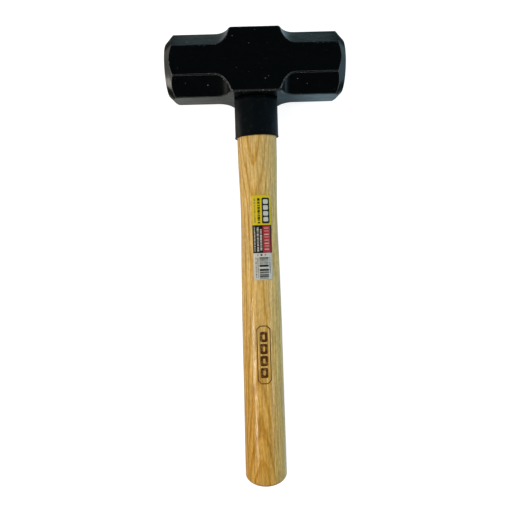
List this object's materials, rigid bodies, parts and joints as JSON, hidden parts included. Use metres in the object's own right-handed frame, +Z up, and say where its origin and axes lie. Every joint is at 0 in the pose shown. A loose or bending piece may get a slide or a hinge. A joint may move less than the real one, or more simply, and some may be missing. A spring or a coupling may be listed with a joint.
{
  "type": "sledgehammer",
  "caption": "Short-handled double-faced sledgehammer: octagonal black steel head wedged on a waisted ash handle, with a plastic overstrike collar and a sticker.",
  "frame": {"origin": "middle of the lower cheek of the head, under the centre of the eye", "axes": "the hammer lies on one cheek: +X along the head towards one striking face, +Y along the handle from butt to head, +Z up through the two cheeks"},
  "size_m": [0.1356, 0.3535, 0.0469],
  "materials": {
    "black_paint": "gloss",
    "ash_wood": "lacquered",
    "black_plastic": "satin",
    "wedge_wood": "bare",
    "wedge_steel": "mill",
    "printed_film": "printed"
  },
  "bodies": {
    "root": {"head": "black_paint", "handle": "ash_wood", "collar": "black_plastic", "wood_wedge": "wedge_wood", "steel_wedge_left": "wedge_steel", "steel_wedge_right": "wedge_steel", "label": "printed_film"}
  },
  "joints": []
}
